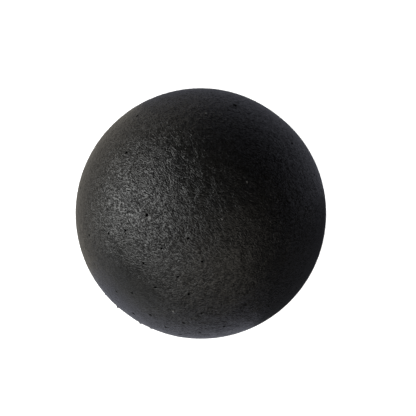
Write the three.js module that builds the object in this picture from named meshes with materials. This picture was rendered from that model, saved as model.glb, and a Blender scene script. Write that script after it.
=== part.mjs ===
// Case opening friction ball: a solid ball of black integral-skin polyurethane
// foam, pressed by hand on a screwed watch case back and turned.
//
// Millimetres, +Z up as the ball lies on a bench. The origin is the ball's centre.
// The mould axis is X: the pour gate, trimmed flat, is at +X, and the mould's
// far end is at -X. Both ends are drawn in a little by the foam's shrinkage.
//
// Two zones make the ball, each a closed body of its own:
//   outer_skin  the dense, nearly pore-free shell that forms against the mould,
//               open only at the gate
//   foam_core   the springy foam that fills it, with a stub that shows through
//               the gate, cut flush with the trimmed flat

import * as THREE from "three";

// ---- driving dimensions -------------------------------------------------
const BALL_D = 68; // diameter round the equator, across the mould axis
const SKIN_T = 1.5; // thickness of the dense skin
const TRIM_D = 7; // flat left where the sprue was cut off
const GATE_D = 4.4; // opening in the skin at the gate, filled by foam
const ZONE_GAP = 0.3; // clearance that keeps the two zones separate bodies
const GATE_SINK = 0.12; // draw-in at the gate end of the mould axis
const FAR_SINK = 0.19; // draw-in at the far end of the mould axis
const SINK_ANGLE = THREE.MathUtils.degToRad(18); // how far round the draw-in spreads

const AROUND = 48; // facets round the mould axis, a multiple of 4
const OUTER_RINGS = 30; // an even number, so that one ring is the equator
const INNER_RINGS = 20;

// ---- the ball's profile ---------------------------------------------------
// Distance of the outer surface from the centre, at the angle polar from +X.
function outerRadius(polar) {
  const near = Math.exp(-((polar / SINK_ANGLE) ** 2));
  const far = Math.exp(-(((Math.PI - polar) / SINK_ANGLE) ** 2));
  return BALL_D / 2 - GATE_SINK * near - FAR_SINK * far;
}

// The polar angle at which a surface, depth below the outer one, is radius
// from the mould axis, on the gate side.
function polarAt(radius, depth) {
  let low = 0;
  let high = Math.PI / 4;
  for (let i = 0; i < 60; i++) {
    const mid = (low + high) / 2;
    if ((outerRadius(mid) - depth) * Math.sin(mid) < radius) low = mid;
    else high = mid;
  }
  return (low + high) / 2;
}

// A point of the profile: its distance from the mould axis, and its place along it.
function profilePoint(polar, depth) {
  const r = outerRadius(polar) - depth;
  return new THREE.Vector2(Math.max(r * Math.sin(polar), 0), r * Math.cos(polar));
}

// Points of a surface from the far end of the axis to the polar angle end. The
// second half of the steps starts at the equator, so that a ring lies on it.
function meridian(depth, end, rings) {
  const points = [new THREE.Vector2(0, -(outerRadius(Math.PI) - depth))];
  const half = rings / 2;
  for (let i = 1; i <= half; i++) {
    points.push(profilePoint(Math.PI - (Math.PI / 2) * (i / half), depth));
  }
  for (let i = 1; i <= half; i++) {
    points.push(profilePoint(Math.PI / 2 + (end - Math.PI / 2) * (i / half), depth));
  }
  return points;
}

// The plane of the trimmed flat, as its distance from the centre along +X.
const TRIM_POLAR = polarAt(TRIM_D / 2, 0);
const TRIM_X = outerRadius(TRIM_POLAR) * Math.cos(TRIM_POLAR);

// A lathe solid, turned so that its axis is the mould axis.
function turned(name, points, material) {
  const mesh = new THREE.Mesh(new THREE.LatheGeometry(points, AROUND), material);
  mesh.name = name;
  mesh.rotation.z = -Math.PI / 2;
  return mesh;
}

// ---- outer_skin -------------------------------------------------------------
const gateR = GATE_D / 2;
const skinOuter = meridian(0, TRIM_POLAR, OUTER_RINGS);
const skinInner = meridian(SKIN_T, polarAt(gateR, SKIN_T), INNER_RINGS);
const skinProfile = [
  ...skinOuter, // the outside, up to the rim of the trimmed flat
  new THREE.Vector2(gateR, TRIM_X), // across the flat to the gate opening
  ...skinInner.reverse(), // down the gate's wall, then the inside
];
const outerSkin = turned(
  "outer_skin",
  skinProfile,
  new THREE.MeshStandardMaterial({ color: 0x202020, roughness: 0.55, metalness: 0 }),
);

// ---- foam_core ----------------------------------------------------------------
const stubR = gateR - ZONE_GAP;
const coreDepth = SKIN_T + ZONE_GAP;
const coreProfile = [
  ...meridian(coreDepth, polarAt(stubR, coreDepth), INNER_RINGS),
  new THREE.Vector2(stubR, TRIM_X), // the stub that fills the gate
  new THREE.Vector2(0, TRIM_X), // cut flush with the flat
];
const foamCore = turned(
  "foam_core",
  coreProfile,
  new THREE.MeshStandardMaterial({ color: 0x2b2b2a, roughness: 0.95, metalness: 0 }),
);

const ball = new THREE.Group();
ball.add(outerSkin, foamCore);

export default ball;
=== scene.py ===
# Case opening friction ball: the looks. One black self-skinned foam ball, seen from above on a pale table.
# Metres in the scene; the mesh code below works in millimetres and scales once, at the end.
import math

import bpy
import numpy as np
from mathutils import Matrix, Vector
from mathutils.geometry import delaunay_2d_cdt


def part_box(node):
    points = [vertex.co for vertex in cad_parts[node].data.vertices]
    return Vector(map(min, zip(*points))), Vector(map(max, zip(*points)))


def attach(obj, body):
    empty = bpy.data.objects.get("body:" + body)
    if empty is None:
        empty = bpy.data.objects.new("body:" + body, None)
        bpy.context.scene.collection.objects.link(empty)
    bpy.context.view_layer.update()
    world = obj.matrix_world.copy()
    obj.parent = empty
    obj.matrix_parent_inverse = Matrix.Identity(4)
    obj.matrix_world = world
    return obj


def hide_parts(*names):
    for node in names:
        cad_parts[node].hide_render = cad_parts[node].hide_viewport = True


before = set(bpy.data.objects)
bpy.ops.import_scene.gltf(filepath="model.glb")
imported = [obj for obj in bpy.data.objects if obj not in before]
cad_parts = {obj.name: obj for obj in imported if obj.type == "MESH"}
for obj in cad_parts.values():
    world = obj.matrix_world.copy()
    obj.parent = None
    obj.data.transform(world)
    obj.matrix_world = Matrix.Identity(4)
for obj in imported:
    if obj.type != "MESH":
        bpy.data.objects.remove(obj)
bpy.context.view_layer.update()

MM = 0.001

# ---------------------------------------------------------------- sizes from the frame
skin_lo, skin_hi = (np.array(v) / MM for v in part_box("outer_skin"))
core_lo, core_hi = (np.array(v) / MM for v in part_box("foam_core"))
R = float(skin_hi[1] - skin_lo[1]) / 2  # 34, round the equator
TRIM_X = float(skin_hi[0])  # plane of the trimmed flat
FAR_SINK = R + float(skin_lo[0])  # draw-in at the far end of the mould axis
GATE_SINK = 0.12
SINK_ANGLE = math.radians(18)
SKIN_T = 1.5
TRIM_R = 3.5
GATE_R = 2.2
CORE_R = float(core_hi[1])

# ---------------------------------------------------------------- the picture's own axes
# The camera looks straight down. TURN is how far the picture's right-hand direction is turned from world X,
# so that the mould axis (world X) runs from the upper right to the lower left of the picture.
TURN = math.radians(233.5)
RIGHT = np.array([math.cos(TURN), -math.sin(TURN), 0.0])
UP = np.array([math.sin(TURN), math.cos(TURN), 0.0])
OUT = np.array([0.0, 0.0, 1.0])


def from_picture(right, up, out):
    """A world direction or point from its parts to the picture's right, up and out towards the camera."""
    return np.asarray(right) * RIGHT + np.asarray(up) * UP + np.asarray(out) * OUT


# ---------------------------------------------------------------- noise, vectorised and seeded
class Noise:
    def __init__(self, seed):
        rng = np.random.default_rng(seed)
        self.perm = rng.permutation(256)
        g = rng.normal(size=(256, 3))
        self.grad = g / np.linalg.norm(g, axis=1)[:, None]

    def __call__(self, p):
        p = np.asarray(p, float)
        cell = np.floor(p).astype(int)
        f = p - cell
        u = f * f * f * (f * (f * 6 - 15) + 10)
        total = np.zeros(len(p))
        for dx in (0, 1):
            for dy in (0, 1):
                for dz in (0, 1):
                    h = self.perm[(cell[:, 0] + dx) & 255]
                    h = self.perm[(h + cell[:, 1] + dy) & 255]
                    h = self.perm[(h + cell[:, 2] + dz) & 255]
                    d = f - np.array([dx, dy, dz])
                    w = (
                        (u[:, 0] if dx else 1 - u[:, 0])
                        * (u[:, 1] if dy else 1 - u[:, 1])
                        * (u[:, 2] if dz else 1 - u[:, 2])
                    )
                    total += w * np.einsum("ij,ij->i", self.grad[h], d)
        return total


# ---------------------------------------------------------------- a near-even sphere of triangles
def geodesic(n):
    """Unit directions and outward triangles of an icosahedron whose edges are split n times, spaced evenly by arc."""
    g = (1 + 5**0.5) / 2
    corner = np.array(
        [
            (-1, g, 0), (1, g, 0), (-1, -g, 0), (1, -g, 0),
            (0, -1, g), (0, 1, g), (0, -1, -g), (0, 1, -g),
            (g, 0, -1), (g, 0, 1), (-g, 0, -1), (-g, 0, 1),
        ],
        float,
    )
    corner /= np.linalg.norm(corner[0])
    faces = [
        (0, 11, 5), (0, 5, 1), (0, 1, 7), (0, 7, 10), (0, 10, 11),
        (1, 5, 9), (5, 11, 4), (11, 10, 2), (10, 7, 6), (7, 1, 8),
        (3, 9, 4), (3, 4, 2), (3, 2, 6), (3, 6, 8), (3, 8, 9),
        (4, 9, 5), (2, 4, 11), (6, 2, 10), (8, 6, 7), (9, 8, 1),
    ]
    arc = math.acos(float(corner[0] @ corner[11]))
    # a slow turn, so that no edge of the icosahedron lies along an axis of the ball
    turn = np.array(Matrix.Rotation(0.37, 3, (0.3, 0.8, 0.5)))
    corner = corner @ turn.T
    grid = [(i, j) for i in range(n + 1) for j in range(n + 1 - i)]
    index = {ij: k for k, ij in enumerate(grid)}
    ij = np.array(grid)
    a, b = ij[:, 0] / n, ij[:, 1] / n
    wa, wb, wc = np.sin(a * arc), np.sin(b * arc), np.sin((1 - a - b) * arc)
    tri = []
    for i in range(n):
        for j in range(n - i):
            tri.append((index[i, j], index[i + 1, j], index[i, j + 1]))
            if i + j < n - 1:
                tri.append((index[i + 1, j], index[i + 1, j + 1], index[i, j + 1]))
    tri = np.array(tri)
    points, triangles = [], []
    for k, (p, q, r) in enumerate(faces):
        v = wa[:, None] * corner[p] + wb[:, None] * corner[q] + wc[:, None] * corner[r]
        points.append(v / np.linalg.norm(v, axis=1)[:, None])
        triangles.append(tri + k * len(grid))
    points, triangles = np.vstack(points), np.vstack(triangles)
    _, first, back = np.unique(
        np.round(points, 7), axis=0, return_index=True, return_inverse=True
    )
    points, triangles = points[first], back.reshape(-1)[triangles]
    p0, p1, p2 = (points[triangles[:, k]] for k in range(3))
    wrong = np.einsum("ij,ij->i", np.cross(p1 - p0, p2 - p0), p0) < 0
    triangles[wrong] = triangles[wrong][:, ::-1]
    return points, triangles


def tangents(c):
    """Two unit directions across c, right-handed with it."""
    c = np.asarray(c, float)
    a = np.array([0.0, 0.0, 1.0]) if abs(c[2]) < 0.8 else np.array([0.0, 1.0, 0.0])
    u = np.cross(a, c)
    u /= np.linalg.norm(u)
    return u, np.cross(c, u)


class Surface:
    """A sphere of triangles into which finer patches are let. Each vertex has a unit direction and an offset in mm."""

    def __init__(self, n, radius):
        self.dirs, self.tris = geodesic(n)
        self.radius = radius
        self.offset = np.zeros(len(self.dirs))
        self.kind = np.zeros(len(self.dirs), int)

    def patch(self, centre, reach, points, hole=None):
        """Cuts out what lies within reach mm of centre and fills it through points, (u, v, offset, kind) in mm across it.
        hole is the number of points at the end of the list that bound an opening. Returns their vertex numbers."""
        c = np.asarray(centre, float)
        c = c / np.linalg.norm(c)
        u, v = tangents(c)
        near = self.dirs @ c > math.cos(reach / self.radius)
        if not near.any():
            near[np.argmax(self.dirs @ c)] = True
        cut = near[self.tris].any(axis=1)
        gone = self.tris[cut]
        edges = {}
        for t in gone:
            for a, b in ((t[0], t[1]), (t[1], t[2]), (t[2], t[0])):
                if (b, a) in edges:
                    del edges[(b, a)]
                else:
                    edges[(a, b)] = True
        follow = {a: b for a, b in edges}
        if len(follow) != len(edges):
            raise RuntimeError("a patch has a pinched edge")
        loop = [next(iter(follow))]
        while follow[loop[-1]] != loop[0]:
            loop.append(follow[loop[-1]])
        if len(loop) != len(edges):
            raise RuntimeError("a patch has more than one edge loop")
        rim = self.dirs[loop] * self.radius
        rim2 = np.stack([rim @ u, rim @ v], 1)
        flat = [Vector((float(x), float(y))) for x, y in rim2]
        flat += [Vector((float(p[0]), float(p[1]))) for p in points]
        out, _, faces, origin, _, _ = delaunay_2d_cdt(
            flat, [], [list(range(len(loop)))], 1, 1e-6
        )
        if len(out) != len(flat) or any(len(o) != 1 for o in origin):
            raise RuntimeError("a patch lost a point")
        number = np.empty(len(out), int)
        base = len(self.dirs)
        for k, o in enumerate(origin):
            number[k] = loop[o[0]] if o[0] < len(loop) else base + o[0] - len(loop)
        p = np.array([q[:2] for q in points], float)
        rest = np.sqrt(np.maximum(self.radius**2 - (p**2).sum(1), 0))
        new = p[:, :1] * u + p[:, 1:] * v + rest[:, None] * c
        self.dirs = np.vstack([self.dirs, new / np.linalg.norm(new, axis=1)[:, None]])
        self.offset = np.r_[self.offset, [q[2] for q in points]]
        self.kind = np.r_[self.kind, [q[3] for q in points]]
        fresh = number[np.array([list(f) for f in faces])]
        ring = set()
        if hole:
            ring = set(range(base + len(points) - hole, base + len(points)))
            fresh = np.array([f for f in fresh if not set(f) <= ring])
        p0, p1, p2 = (self.dirs[fresh[:, k]] for k in range(3))
        wrong = np.einsum("ij,ij->i", np.cross(p1 - p0, p2 - p0), p0) < 0
        fresh[wrong] = fresh[wrong][:, ::-1]
        self.tris = np.vstack([self.tris[~cut], fresh])
        return sorted(ring)

    def tidy(self):
        """Drops vertices that no triangle uses, and returns where each old one went."""
        used = np.zeros(len(self.dirs), bool)
        used[self.tris] = True
        to = np.cumsum(used) - 1
        self.dirs, self.offset, self.kind = (
            self.dirs[used],
            self.offset[used],
            self.kind[used],
        )
        self.tris = to[self.tris]
        return to


def outer_radius(d):
    """The moulded outside, in mm from the centre, in each direction: round, but drawn in at both ends of the mould axis."""
    polar = np.arccos(np.clip(d[:, 0], -1, 1))
    return (
        R
        - GATE_SINK * np.exp(-((polar / SINK_ANGLE) ** 2))
        - FAR_SINK * np.exp(-(((math.pi - polar) / SINK_ANGLE) ** 2))
    )


# ---------------------------------------------------------------- the marks of moulding
# (right, up, out) in mm from the ball's centre, as the picture sees them, then the mouth's radius and the depth.
PINHOLES = [
    (-16.7, 25.88, 14.2, 0.38, 0.65), (-19.4, 15.98, 22.9, 0.40, 0.68), (-32.2, 6.88, 8.4, 0.42, 0.71),
    (-13.8, -0.32, 31.1, 0.40, 0.80), (-19.5, -4.32, 27.5, 0.34, 0.58), (-24, -5.22, 23.5, 0.34, 0.58),
    (-29.5, -5.72, 16, 0.36, 0.61), (-3.1, -6.32, 33.3, 0.34, 0.58), (-10, -8.92, 31.3, 0.28, 0.55),
    (-14.8, -12.82, 27.8, 0.34, 0.65), (0.5, -12.32, 31.7, 0.31, 0.53), (-5.9, -16.32, 29.3, 0.32, 0.60),
    (-11.7, -19.22, 25.6, 0.44, 0.85), (-22.3, -20.72, 15.3, 0.36, 0.61), (-18, -20.92, 20, 0.38, 0.65),
    (-3, -20.92, 26.7, 0.35, 0.60), (-8.1, -25.22, 21.5, 0.42, 0.71), (-18, -26.72, 11.2, 0.46, 0.78),
    (-13.3, -26.92, 16.2, 0.44, 0.80), (0.3, -26.12, 21.9, 0.34, 0.60), (-4.5, -28.92, 17.5, 0.40, 0.68),
    (-9.3, -30.32, 12.6, 0.42, 0.71), (6.2, -29.92, 15.2, 0.42, 0.71), (-0.3, -31.82, 12.3, 0.39, 0.66),
    (-5.4, -32.42, 9, 0.42, 0.71), (18, -24.42, 15.6, 0.28, 0.48), (24.1, 18.48, 15.1, 0.32, 0.54),
    (30.2, 10.28, 11.7, 0.32, 0.54), (-26.8, -20.72, 3.9, 0.38, 0.65),
]
# The same, with the radius and height of a raised spot.
PIMPLES = [
    (1.5, 26.3, 21.4, 0.42, 0.12), (12.0, 8.2, 30.7, 0.40, 0.11), (5.6, -1.3, 33.5, 0.42, 0.13),
    (-7.2, -25.6, 21.2, 0.40, 0.08),
]
# A spot with a ring round it, where a bubble burst and half healed.
CRATERS = [(9.0, 28.6, 16.0, 0.75, 0.10)]
# Torn specks that stand out of the outline beside the trimmed gate.
NIBS = [
    (-22.6, -25.4, 2.2, 0.34, 0.30), (-16.4, -29.7, 2.4, 0.42, 0.28), (-13.5, -31.1, 2.4, 0.28, 0.16),
    (-25.9, -22.0, 2.6, 0.26, 0.14),
]


def wobbly_ring(rng_phase, radius, count, squash, angle, twist=0.0, amount=1.0):
    """Points round a slightly uneven, slightly oval ring."""
    out = []
    for k in range(count):
        t = 2 * math.pi * (k + twist) / count
        r = radius * (
            1
            + 0.08 * amount * math.sin(2 * t + rng_phase[0])
            + 0.06 * amount * math.sin(3 * t + rng_phase[1])
        )
        x, y = r * math.cos(t), r * math.sin(t) * squash
        out.append(
            (
                x * math.cos(angle) - y * math.sin(angle),
                x * math.sin(angle) + y * math.cos(angle),
            )
        )
    return out


def pinhole(rng, a, depth):
    phase, squash, angle = rng.uniform(0, 6.28, 2), rng.uniform(0.72, 1.0), rng.uniform(0, 3.14)
    points = []
    # kind 1 marks the inside of the pit, which the skin material darkens as painted shade
    for k, (f, h, n, kind) in enumerate(
        (
            (1.85, 0.0, 12, 0),
            (1.35, 0.012, 12, 0),
            (1.10, 0.006, 12, 0),
            (0.97, -0.07 * depth, 12, 1),
            (0.88, -0.45 * depth, 12, 1),
            (0.74, -0.82 * depth, 10, 1),
            (0.40, -1.0 * depth, 6, 1),
        )
    ):
        points += [
            (x, y, h, kind) for x, y in wobbly_ring(phase, a * f, n, squash, angle, 0.5 * (k % 2))
        ]
    return points + [(0.0, 0.0, -1.02 * depth, 1)]


def pimple(rng, a, height, top=7):
    phase, squash, angle = rng.uniform(0, 6.28, 2), rng.uniform(0.75, 1.0), rng.uniform(0, 3.14)
    points = []
    # the tip gets kind top: 7 marks where the skin material paints a glint, 2 gives none
    for k, (f, h, n) in enumerate(
        ((1.7, 0.0, 12), (1.25, 0.04, 12), (0.95, 0.30, 12), (0.65, 0.72, 10), (0.32, 0.95, 6))
    ):
        points += [
            (x, y, h * height, top if f < 0.7 else 2)
            for x, y in wobbly_ring(phase, a * f, n, squash, angle, 0.5 * (k % 2))
        ]
    return points + [(0.0, 0.0, height, top)]


def crater(rng, a, height):
    phase, squash, angle = rng.uniform(0, 6.28, 2), 0.92, rng.uniform(0, 3.14)
    points = []
    # the deep middle gets kind 1, which the skin material darkens as painted shade, as in a pit
    for k, (f, h, n) in enumerate(
        (
            (1.9, 0.0, 16), (1.55, 0.25, 16), (1.3, 0.02, 16), (1.05, 0.55, 16), (0.85, 0.45, 14),
            (0.62, -1.6, 12), (0.42, -1.7, 10), (0.24, -0.2, 8),
        )
    ):
        points += [
            (x, y, h * height, 2 if h > -1 else 1)
            for x, y in wobbly_ring(phase, a * f, n, squash, angle, 0.5 * (k % 2))
        ]
    return points + [(0.0, 0.0, 0.1 * height, 2)]


# ---------------------------------------------------------------- outer_skin
def skin_mesh(n):
    rng = np.random.default_rng(20)
    s = Surface(n, R)
    taken = []

    def place(p, reach, points):
        c = np.asarray(p, float) / np.linalg.norm(p)
        s.patch(c, reach, points)
        taken.append((c, reach))

    # the gate: a trimmed flat with a torn rim, open in the middle
    gate, phase = [], rng.uniform(0, 6.28, 2)
    for f, count in ((1.32, 52), (1.14, 56)):
        gate += [
            (x, y, 0.0, 0) for x, y in wobbly_ring(phase, TRIM_R * f, count, 1.0, 0.0, 0.3, 0.4)
        ]
    rim = wobbly_ring(phase, TRIM_R, 72, 1.0, 0.0, 0.0, 0.4)
    gate += [(x, y, 0.0, 3) for x, y in rim]
    gate += [(x * 0.965, y * 0.965, 0.0, 4) for x, y in rim]
    for radius, count, amount in ((3.12, 60, 0.3), (2.86, 60, 0.2), (2.6, 56, 0.1), (2.38, 52, 0.0)):
        gate += [
            (x, y, 0.0, 4) for x, y in wobbly_ring(phase, radius, count, 1.0, 0.0, 0.5, amount)
        ]
    mouth = [
        (GATE_R * math.cos(2 * math.pi * k / 48), GATE_R * math.sin(2 * math.pi * k / 48), 0.0, 5)
        for k in range(48)
    ]
    ring = s.patch((1, 0, 0), TRIM_R * 1.5, gate + mouth, hole=48)
    taken.append((np.array([1.0, 0, 0]), TRIM_R * 1.6))

    for r, u, o, a, depth in PINHOLES:
        place(from_picture(r, u, o), 2.0 * a + 0.35, pinhole(rng, a, depth))
    for r, u, o, a, height in PIMPLES:
        place(from_picture(r, u, o), 1.9 * a + 0.35, pimple(rng, a, height))
    for r, u, o, a, height in CRATERS:
        place(from_picture(r, u, o), 2.1 * a + 0.35, crater(rng, a, height))
    for r, u, o, a, height in NIBS:
        place(from_picture(r, u, o), 1.9 * a + 0.35, pimple(rng, a, height, 2))

    # the side that the picture doesn't show: the same kinds of mark, thickest towards one side, as on the side it does
    heavy = from_picture(-0.45, -0.75, -0.5)
    made = tries = 0
    while made < 84 and tries < 5000:
        tries += 1
        d = rng.normal(size=3)
        d /= np.linalg.norm(d)
        if d[2] > 0.06 or rng.uniform() > 0.25 + 0.75 * max(0.0, float(d @ heavy)) ** 1.0:
            continue
        if any(math.acos(min(1.0, float(d @ c))) * R < reach + 2.2 for c, reach in taken):
            continue
        a = float(rng.uniform(0.23, 0.40))
        if rng.uniform() < 0.12:
            place(d, 1.9 * a + 0.35, pimple(rng, a, float(rng.uniform(0.06, 0.12))))
        else:
            place(d, 2.0 * a + 0.35, pinhole(rng, a, float(a * rng.uniform(1.6, 2.2))))
        made += 1

    keep = s.tidy()
    ring = [int(keep[k]) for k in ring]
    d = s.dirs
    low, mid, fine = Noise(3), Noise(4), Noise(5)
    soft = 0.035 * low(d * 2.3) + 0.018 * low(d * 6.0 + 7)
    ripple = 0.006 * mid(d * R / 2.6) + 0.005 * fine(d * R / 1.35)
    radius = outer_radius(d) + soft + ripple + s.offset
    xyz = d * radius[:, None]
    # the trimmed flat lies in one plane, a little rough from the blade, with torn specks round its rim
    flat = np.isin(s.kind, (3, 4, 5))
    across = xyz[flat, 1:]
    cut = 0.012 * fine(np.c_[across * 2.2, np.zeros(len(across))]) + 0.008 * mid(
        np.c_[across * np.array([6.0, 1.2]), np.zeros(len(across))]
    )
    xyz[flat, 0] = TRIM_X - 0.02 + cut
    torn = s.kind == 3
    angle = np.arctan2(xyz[torn, 2], xyz[torn, 1])
    lip = np.maximum(0, fine(np.c_[np.cos(angle) * 5, np.sin(angle) * 5, angle * 0 + 3]) - 0.12)
    xyz[torn, 0] += 0.28 * lip
    mouth_ring = s.kind == 5
    xyz[mouth_ring, 0] = TRIM_X - 0.03

    # inside: the gate's wall and the inner face of the skin, turned round the mould axis
    order = sorted(ring, key=lambda k: math.atan2(xyz[k, 2], xyz[k, 1]))
    count = len(order)
    angle0 = math.atan2(xyz[order[0], 2], xyz[order[0], 1])
    verts, tris = [xyz], [s.tris]
    previous = order
    base = len(xyz)

    def polar_at(radius_mm):
        lo, hi = 0.0, math.pi / 4
        for _ in range(50):
            m = (lo + hi) / 2
            rr = outer_radius(np.array([[math.cos(m), math.sin(m), 0]]))[0] - SKIN_T
            lo, hi = (m, hi) if rr * math.sin(m) < radius_mm else (lo, m)
        return lo

    start = polar_at(GATE_R)
    steps = [(GATE_R, TRIM_X - 0.45), (GATE_R, TRIM_X - 0.9)]
    for k in range(37):
        polar = start + (math.pi - start) * k / 37
        r = float(outer_radius(np.array([[math.cos(polar), math.sin(polar), 0]]))[0]) - SKIN_T
        steps.append((r * math.sin(polar), r * math.cos(polar)))
    for radial, x in steps:
        a = angle0 + 2 * np.pi * np.arange(count) / count
        verts.append(np.c_[np.full(count, x), radial * np.cos(a), radial * np.sin(a)])
        now = list(range(base, base + count))
        for i in range(count):
            j = (i + 1) % count
            tris.append(
                np.array(
                    [
                        (previous[i], previous[j], now[i]),
                        (previous[j], now[j], now[i]),
                    ]
                )
            )
        previous, base = now, base + count
    far = -(R - FAR_SINK - SKIN_T)
    verts.append(np.array([[far, 0.0, 0.0]]))
    for i in range(count):
        tris.append(np.array([(previous[i], previous[(i + 1) % count], base)]))
    kind = np.r_[s.kind, np.full(sum(len(v) for v in verts[1:]), 6)]
    return np.vstack(verts), np.vstack(tris), kind


def closed_and_outward(verts, tris, name):
    """Turns the triangles outward, and stops if the mesh isn't one closed skin."""
    pair = np.sort(np.vstack([tris[:, [0, 1]], tris[:, [1, 2]], tris[:, [2, 0]]]), axis=1)
    _, count = np.unique(pair, axis=0, return_counts=True)
    if (count != 2).any():
        raise RuntimeError(f"{name} has {(count != 2).sum()} open or shared edges")
    directed = np.vstack([tris[:, [0, 1]], tris[:, [1, 2]], tris[:, [2, 0]]])
    if len(np.unique(directed, axis=0)) != len(directed):
        raise RuntimeError(f"{name} has faces that disagree about which side is out")
    p0, p1, p2 = (verts[tris[:, k]] for k in range(3))
    if np.einsum("ij,ij->i", p0, np.cross(p1, p2)).sum() < 0:
        tris = tris[:, ::-1]
    return tris


def mesh_object(name, verts, tris):
    me = bpy.data.meshes.new(name)
    me.vertices.add(len(verts))
    me.vertices.foreach_set("co", (verts * MM).astype(np.float32).ravel())
    me.loops.add(len(tris) * 3)
    me.loops.foreach_set("vertex_index", tris.astype(np.int32).ravel())
    me.polygons.add(len(tris))
    me.polygons.foreach_set("loop_start", np.arange(0, len(tris) * 3, 3, dtype=np.int32))
    me.polygons.foreach_set("use_smooth", np.ones(len(tris), bool))
    me.update(calc_edges=True)
    me.validate()
    ob = bpy.data.objects.new(name, me)
    bpy.context.scene.collection.objects.link(ob)
    return ob


N_SKIN = 90
verts, tris, kind = skin_mesh(N_SKIN)
tris = closed_and_outward(verts, tris, "skin")
skin = mesh_object("moulded_skin", verts, tris)
# marks for the skin material: pit insides (darkened there as painted shade), the cut flat, and the tips of raised spots
# (lightened there as a painted glint)
for mark, kinds in (("pit", (1,)), ("cut", (4, 5)), ("painted_glint", (7,))):
    skin.data.attributes.new(mark, "FLOAT", "POINT").data.foreach_set("value", np.isin(kind, kinds).astype(np.float32))
print("skin:", len(verts), "vertices,", len(tris), "triangles")


# ---------------------------------------------------------------- foam_core
def core_mesh(n):
    rng = np.random.default_rng(31)
    stub = GATE_R - 0.05
    count = 72
    s = Surface(n, CORE_R)
    around = [(r * math.cos(2 * math.pi * (k + 0.5) / m), r * math.sin(2 * math.pi * (k + 0.5) / m), 0.0, 0)
              for r, m in ((2.9, 30), (2.45, 44)) for k in range(m)]
    mouth = [(stub * math.cos(2 * math.pi * k / count), stub * math.sin(2 * math.pi * k / count), 0.0, 5)
             for k in range(count)]
    ring = s.patch((1, 0, 0), 4.2, around + mouth, hole=count)
    keep = s.tidy()
    ring = [int(keep[k]) for k in ring]
    d = s.dirs
    cells = 0.05 * Noise(8)(d * CORE_R / 0.9)
    xyz = d * (outer_radius(d) - SKIN_T - 0.14 - np.abs(cells))[:, None]
    order = sorted(ring, key=lambda k: math.atan2(xyz[k, 2], xyz[k, 1]))
    angle0 = math.atan2(xyz[order[0], 2], xyz[order[0], 1])
    a = angle0 + 2 * np.pi * np.arange(count) / count
    xyz[order, 1], xyz[order, 2] = stub * np.cos(a), stub * np.sin(a)
    verts, tris, base, previous = [xyz], [s.tris], len(xyz), order
    start, top = float(xyz[order, 0].mean()), TRIM_X - 0.05
    for f in (0.2, 0.4, 0.6, 0.8, 0.92, 1.0):
        verts.append(np.c_[np.full(count, start + (top - start) * f), stub * np.cos(a), stub * np.sin(a)])
        now = list(range(base, base + count))
        for i in range(count):
            j = (i + 1) % count
            tris.append(np.array([(previous[i], previous[j], now[i]), (previous[j], now[j], now[i])]))
        previous, base = now, base + count
    # the cut end: open cells of foam, their thin walls standing where the blade left them
    step = 0.10
    pts = []
    for i in range(-30, 31):
        for j in range(-34, 35):
            y, z = (i + 0.5 * (j % 2)) * step, j * step * 0.866
            if math.hypot(y, z) < stub - 0.06:
                pts.append((y + rng.uniform(-0.02, 0.02), z + rng.uniform(-0.02, 0.02)))
    rim = [(stub * math.cos(t), stub * math.sin(t)) for t in a]
    flat = [Vector(p) for p in rim + pts]
    out, _, faces, origin, _, _ = delaunay_2d_cdt(flat, [], [list(range(count))], 1, 1e-6)
    number = np.array([previous[o[0]] if o[0] < count else base + o[0] - count for o in origin])
    p = np.array(pts)
    seeds = []
    while len(seeds) < 75:
        q = rng.uniform(-2.6, 2.6, 2)
        if all(np.hypot(*(q - t)) > 0.30 + 0.22 * rng.uniform() for t in seeds):
            seeds.append(q)
        elif rng.uniform() < 0.002:
            break
    away = np.sort(np.linalg.norm(p[:, None, :] - np.array(seeds)[None], axis=2), axis=1)
    wall = away[:, 1] - away[:, 0]
    bowl = np.clip((wall - 0.03) / 0.16, 0, 1)
    bowl = bowl * bowl * (3 - 2 * bowl)
    edge = np.clip((stub - np.hypot(p[:, 0], p[:, 1])) / 0.15, 0, 1)
    depth = 0.20 * bowl * edge * (0.6 + 0.8 * rng.uniform(size=len(p)) * 0.3 + 0.3)
    verts.append(np.c_[top - depth + 0.015 * Noise(9)(np.c_[p * 3, p[:, :1] * 0]), p])
    tris.append(number[np.array([list(f) for f in faces])])
    return np.vstack(verts), np.vstack(tris)


verts, tris = core_mesh(34)
p0, p1, p2 = (verts[tris[:, k]] for k in range(3))
tris = closed_and_outward(verts, tris, "core")
core = mesh_object("cut_foam_core", verts, tris)
print("core:", len(verts), "vertices,", len(tris), "triangles")


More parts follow.
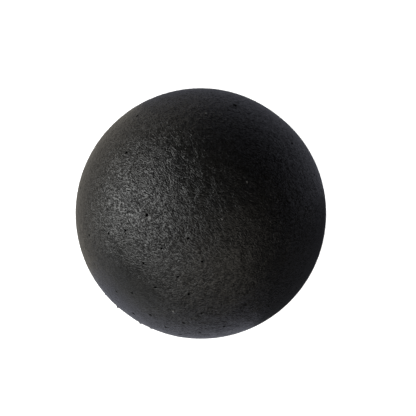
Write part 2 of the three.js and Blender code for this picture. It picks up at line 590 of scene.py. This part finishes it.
# ---------------------------------------------------------------- materials
class Nodes:
    """A little shorthand for building a node tree."""

    def __init__(self, name):
        self.mat = bpy.data.materials.new(name)
        self.mat.use_nodes = True
        self.tree = self.mat.node_tree
        self.tree.nodes.clear()
        self.out = self.tree.nodes.new("ShaderNodeOutputMaterial")
        self.shader = self.tree.nodes.new("ShaderNodeBsdfPrincipled")
        self.link(self.shader.outputs[0], self.out.inputs["Surface"])

    def link(self, a, b):
        self.tree.links.new(a, b)

    def put(self, socket, value):
        if isinstance(value, bpy.types.NodeSocket):
            self.link(value, socket)
        else:
            socket.default_value = value

    def math(self, op, a, b=None, c=None, clamp=False):
        n = self.tree.nodes.new("ShaderNodeMath")
        n.operation, n.use_clamp = op, clamp
        for k, v in enumerate((a, b, c)):
            if v is not None:
                self.put(n.inputs[k], v)
        return n.outputs[0]

    def vector(self, op, a, b=None, scale=None):
        n = self.tree.nodes.new("ShaderNodeVectorMath")
        n.operation = op
        self.put(n.inputs[0], a)
        if b is not None:
            self.put(n.inputs[1], b)
        if scale is not None:
            self.put(n.inputs["Scale"], scale)
        return n.outputs["Value"] if op in ("DOT_PRODUCT", "LENGTH", "DISTANCE") else n.outputs["Vector"]

    def mark(self, name):
        n = self.tree.nodes.new("ShaderNodeAttribute")
        n.attribute_name = name
        return n.outputs["Fac"]

    def noise(self, at, scale, detail=2.0, rough=0.5, distort=0.0, colour=False):
        n = self.tree.nodes.new("ShaderNodeTexNoise")
        self.put(n.inputs["Vector"], at)
        n.inputs["Scale"].default_value = scale
        n.inputs["Detail"].default_value = detail
        n.inputs["Roughness"].default_value = rough
        n.inputs["Distortion"].default_value = distort
        return n.outputs["Color" if colour else "Fac"]

    def voronoi(self, at, scale, feature="F1", randomness=1.0):
        n = self.tree.nodes.new("ShaderNodeTexVoronoi")
        n.feature = feature
        self.put(n.inputs["Vector"], at)
        n.inputs["Scale"].default_value = scale
        n.inputs["Randomness"].default_value = randomness
        return n.outputs["Distance"]

    def ramp(self, at, low, high, to_low=0.0, to_high=1.0):
        n = self.tree.nodes.new("ShaderNodeMapRange")
        n.interpolation_type = "SMOOTHSTEP"
        self.put(n.inputs["Value"], at)
        n.inputs["From Min"].default_value, n.inputs["From Max"].default_value = low, high
        n.inputs["To Min"].default_value, n.inputs["To Max"].default_value = to_low, to_high
        return n.outputs["Result"]

    def mix(self, t, a, b):
        n = self.tree.nodes.new("ShaderNodeMix")
        n.data_type = "RGBA"
        self.put(n.inputs["Factor"], t)
        self.put(n.inputs["A"], a)
        self.put(n.inputs["B"], b)
        return n.outputs["Result"]

    def bump(self, height, distance, strength=1.0, normal=None):
        n = self.tree.nodes.new("ShaderNodeBump")
        n.inputs["Strength"].default_value = strength
        n.inputs["Distance"].default_value = distance
        self.put(n.inputs["Height"], height)
        if normal is not None:
            self.put(n.inputs["Normal"], normal)
        return n.outputs["Normal"]


def skin_material():
    m = Nodes("moulded_skin")
    coord = m.tree.nodes.new("ShaderNodeTexCoord").outputs["Object"]
    mm = m.vector("SCALE", coord, scale=1000.0)
    # a slow wander bends the fine wrinkles into swirls
    wander = m.vector("SUBTRACT", m.noise(mm, 0.22, 2.0, 0.5, colour=True), (0.5, 0.5, 0.5))
    bent = m.vector("ADD", mm, m.vector("SCALE", wander, scale=2.2))

    def drawn(along, stretch):
        """Coordinates in which wrinkles run long across the direction along."""
        size = m.math("MULTIPLY", m.vector("DOT_PRODUCT", bent, tuple(along)), 1 - stretch)
        return m.vector("ADD", m.vector("SCALE", bent, scale=stretch), m.vector("SCALE", tuple(along), scale=size))

    # the wrinkles lie one way over most of the ball and another way low down
    lower = m.ramp(m.vector("DOT_PRODUCT", mm, tuple(UP)), -20.0, -6.0, 1.0, 0.0)

    def both(pattern):
        high, low = pattern(from_picture(-0.53, -0.85, 0.0)), pattern(from_picture(0.17, -0.98, 0.0))
        return m.math("ADD", high, m.math("MULTIPLY", lower, m.math("SUBTRACT", low, high)))

    crease = both(lambda way: m.math("ABSOLUTE", m.math("SUBTRACT", m.noise(drawn(way, 0.5), 1.95, 1.3, 0.8), 0.5)))
    hairs = both(lambda way: m.noise(drawn(way, 0.38), 3.6, 1.0, 0.6))
    swell = m.noise(bent, 0.4, 1.0, 0.5)
    # one patch lay against a smoother part of the mould
    patch = tuple(from_picture(-19.0, -21.5, 18.0))
    wrinkled = m.ramp(m.vector("DISTANCE", mm, patch), 3.0, 15.0, 0.45, 1.0)
    height = m.math("SUBTRACT", m.math("MULTIPLY", swell, 0.27), m.math("MULTIPLY", crease, 0.45))
    height = m.math("MULTIPLY", height, wrinkled)
    normal = m.bump(height, 0.001, 1.0)
    s = m.shader.inputs
    m.link(normal, s["Normal"])
    # painted shade: the shine drops where the wrinkles sink low, and the bottoms of pits are darkened in colour and
    # shine; between the creases the shine varies along hair-fine streaks; the tips of raised spots get a painted glint
    pit, cut, painted_glint = m.mark("pit"), m.mark("cut"), m.mark("painted_glint")
    # painted shade: the shine falls to 0.4 of full where the wrinkles sink low and stays full on their ridges
    shine = m.math("MULTIPLY", m.ramp(crease, 0.2, 0.0, 0.4, 1.0), m.ramp(hairs, 0.35, 0.65, 0.21, 1.09))
    shine = m.math("ADD", 0.53, m.math("MULTIPLY", wrinkled, m.math("SUBTRACT", shine, 0.53)))
    # painted shade: inside the pits the shine is cut to a tenth
    m.link(m.math("MULTIPLY", shine, m.math("SUBTRACT", 1.0, m.math("MULTIPLY", pit, 0.9))), s["Specular IOR Level"])
    tone = m.noise(mm, 0.12, 3.0, 0.55)
    colour = m.mix(m.ramp(tone, 0.3, 0.7), (0.0105, 0.0105, 0.0108, 1), (0.0145, 0.0140, 0.0132, 1))
    colour = m.mix(m.math("MULTIPLY", cut, 0.8), colour, (0.024, 0.023, 0.022, 1))
    # painted highlight: the tips of raised spots are lightened to stand for the glint of light they catch
    colour = m.mix(painted_glint, colour, (0.16, 0.155, 0.15, 1))
    # painted shade: the insides of the pits are darkened almost to black
    m.link(m.mix(m.math("MULTIPLY", pit, 0.8), colour, (0.003, 0.003, 0.003, 1)), s["Base Color"])
    rough = m.ramp(m.noise(mm, 0.3, 3.0, 0.6), 0.25, 0.75, 0.27, 0.33)
    m.link(m.math("ADD", rough, m.math("MULTIPLY", m.math("MAXIMUM", pit, cut), 0.3)), s["Roughness"])
    s["IOR"].default_value = 1.5
    return m.mat


def foam_material():
    m = Nodes("open_foam")
    coord = m.tree.nodes.new("ShaderNodeTexCoord").outputs["Object"]
    mm = m.vector("SCALE", coord, scale=1000.0)
    pores = m.voronoi(mm, 5.0)
    normal = m.bump(m.math("ADD", pores, m.noise(mm, 12.0, 3.0, 0.6)), 0.00008, 1.0)
    s = m.shader.inputs
    m.link(normal, s["Normal"])
    m.link(m.mix(m.noise(mm, 2.5, 3.0, 0.6), (0.010, 0.010, 0.010, 1), (0.030, 0.029, 0.027, 1)), s["Base Color"])
    m.link(m.ramp(m.noise(mm, 4.0, 2.0, 0.5), 0.3, 0.7, 0.85, 0.97), s["Roughness"])
    return m.mat


skin.data.materials.append(skin_material())
core.data.materials.append(foam_material())

# ---------------------------------------------------------------- camera
scene = bpy.context.scene
AWAY = 0.6
FOCAL_PX = 125.42 / math.tan(math.asin(R * MM / AWAY))
cam_data = bpy.data.cameras.new("camera")
cam = bpy.data.objects.new("camera", cam_data)
scene.collection.objects.link(cam)
cam_data.sensor_width = 36.0
cam_data.lens = FOCAL_PX * 36.0 / 416
cam_data.clip_end = 50.0
slide = AWAY / FOCAL_PX  # metres across the ball for each pixel of the frame
cam.matrix_world = Matrix(
    [[*c, p] for c, p in zip(zip(RIGHT, UP, OUT), from_picture((208 - 200.86) * slide, (213.49 - 208) * slide, AWAY))]
    + [[0, 0, 0, 1]]
)
scene.camera = cam

# ---------------------------------------------------------------- table, backdrop and lights
scene.view_settings.view_transform = "Standard"
world = bpy.data.worlds.new("studio")
scene.world = world
world.use_nodes = True
world.node_tree.nodes["Background"].inputs["Strength"].default_value = 0.0
TABLE_Z = -R * MM


def stage_mesh(name, verts, faces, material):
    me = bpy.data.meshes.new(name)
    me.from_pydata(verts, [], faces)
    me.materials.append(material)
    ob = bpy.data.objects.new(name, me)
    scene.collection.objects.link(ob)
    return ob


def glow(name, colour, strength=1.0):
    m = bpy.data.materials.new(name)
    m.use_nodes = True
    nt = m.node_tree
    nt.nodes.clear()
    e, o = nt.nodes.new("ShaderNodeEmission"), nt.nodes.new("ShaderNodeOutputMaterial")
    e.inputs["Color"].default_value = (*colour, 1)
    e.inputs["Strength"].default_value = strength
    nt.links.new(e.outputs[0], o.inputs[0])
    return m


paper = Nodes("pale_table")
paper.shader.inputs["Base Color"].default_value = (0.8, 0.8, 0.8, 1)
paper.shader.inputs["Roughness"].default_value = 0.9
paper.shader.inputs["Specular IOR Level"].default_value = 0.0
W = 4.6
table = stage_mesh(
    "table_top", [(-W, -W, TABLE_Z), (W, -W, TABLE_Z), (W, W, TABLE_Z), (-W, W, TABLE_Z)], [(0, 1, 2, 3)], paper.mat
)
table.visible_diffuse = table.visible_glossy = table.visible_shadow = False
ring = 48
wall = stage_mesh(
    "backdrop",
    [(W * 0.95 * math.cos(2 * math.pi * k / ring), W * 0.95 * math.sin(2 * math.pi * k / ring), z)
     for z in (TABLE_Z - 0.3, 3.5) for k in range(ring)] + [(0, 0, 3.5)],
    [(k, (k + 1) % ring, ring + (k + 1) % ring, ring + k) for k in range(ring)]
    + [(ring + k, ring + (k + 1) % ring, 2 * ring) for k in range(ring)],
    glow("backdrop", (1.0, 1.0, 1.0)),
)
wall.visible_diffuse = wall.visible_glossy = wall.visible_shadow = False
only = bpy.data.collections.new("lit_by_the_table_light")
only.objects.link(table)
sun_data = bpy.data.lights.new("table_light", "SUN")
sun_data.energy, sun_data.angle = 6.6, math.radians(100)
sun = bpy.data.objects.new("table_light", sun_data)
scene.collection.objects.link(sun)
sun.light_linking.receiver_collection = only


# Five soft lamps: height, bearing and half-width in degrees, as seen from the ball with the picture's right as bearing 0,
# then strength and tint. The first two, on the left, are the key light. The rest fill in from the lower side.
WHITE, COOL, WARM = (1.0, 1.01, 0.99), (0.93, 0.95, 1.12), (1.08, 1.01, 0.9)
LAMPS = [
    (38, 189, 24, 0.225, WHITE),
    (13, 166, 22, 0.25, WHITE),
    (32, 280, 30, 0.085, WARM),
    (44, 232, 24, 0.085, WHITE),
    (60, 324, 30, 0.02, WARM),
]
# What the pale table sends back at the ball: bright towards the lamps, dim where the ball's own shadow falls.
# Inner and outer radius in metres, first and last bearing, then brightness and tint.
BOUNCE = [
    (0.036, 0.1, 10, 120, 0.2, COOL), (0.036, 0.1, 120, 210, 0.4, WARM),
    (0.036, 0.1, 210, 295, 0.42, COOL), (0.036, 0.1, 295, 370, 0.05, COOL),
    (0.1, 0.5, 0, 90, 0.18, COOL), (0.1, 0.5, 90, 180, 0.36, WARM),
    (0.1, 0.5, 180, 270, 0.42, WHITE), (0.1, 0.5, 270, 360, 0.08, COOL),
]
for height, bearing, wide, strength, tint in LAMPS:
    e, a = math.radians(height), math.radians(bearing)
    d = Vector(from_picture(math.cos(e) * math.cos(a), math.cos(e) * math.sin(a), math.sin(e)))
    data = bpy.data.lights.new("lamp", "AREA")
    data.shape, data.size, data.energy, data.color = "DISK", 2 * 0.7 * math.tan(math.radians(wide)), 10 * strength, tint
    ob = bpy.data.objects.new("lamp", data)
    scene.collection.objects.link(ob)
    ob.location, ob.rotation_euler = d * 0.7, d.to_track_quat("Z", "Y").to_euler()
    ob.visible_camera = False
for r1, r2, first, last, strength, tint in BOUNCE:
    v, steps = [], (last - first) // 5
    for j in range(steps + 1):
        a = math.radians(first + 5 * j)
        for q in (r1, r2):
            p = from_picture(q * math.cos(a), q * math.sin(a), 0)
            v.append((p[0], p[1], TABLE_Z - 0.001))
    f = [(2 * j, 2 * j + 1, 2 * j + 3, 2 * j + 2) for j in range(steps)]
    ob = stage_mesh("bounce", v, f, glow("bounce", tint, strength))
    ob.visible_camera = ob.visible_shadow = False

# ---------------------------------------------------------------- hand over
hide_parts("outer_skin")
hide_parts("foam_core")
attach(skin, "root")
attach(core, "root")
